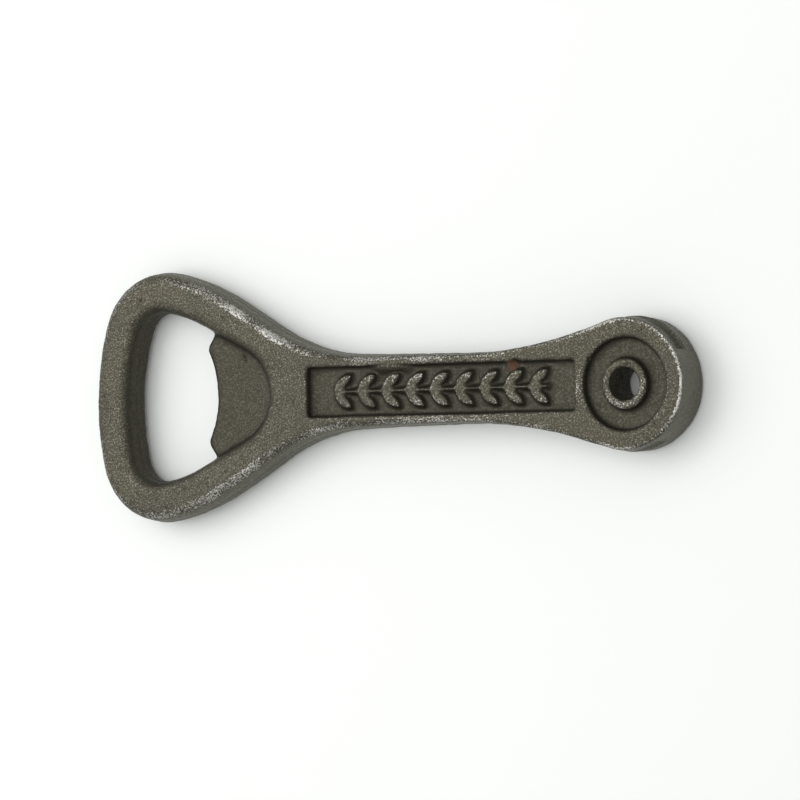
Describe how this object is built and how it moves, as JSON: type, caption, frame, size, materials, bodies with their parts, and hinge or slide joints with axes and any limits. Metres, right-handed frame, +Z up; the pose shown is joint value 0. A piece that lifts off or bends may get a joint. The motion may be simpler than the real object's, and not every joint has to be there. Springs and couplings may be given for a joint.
{
  "type": "bottle opener",
  "caption": "Flat cast-iron bottle opener: looped head with a hollow lip web, waisted handle with a sunk leaf panel, round boss with a hanging hole.",
  "frame": {"origin": "on the resting plane, under the middle of the casting's length and width", "axes": "+X along the handle from the head to the boss, +Y across, +Z up out of the face with the panel"},
  "size_m": [0.1324, 0.0491, 0.0084],
  "materials": {
    "cast_iron": "as-cast grey iron, brown-grey and granular, rubbed bright along its edges"
  },
  "bodies": {
    "root": {"opener_casting": "cast_iron"}
  },
  "joints": []
}
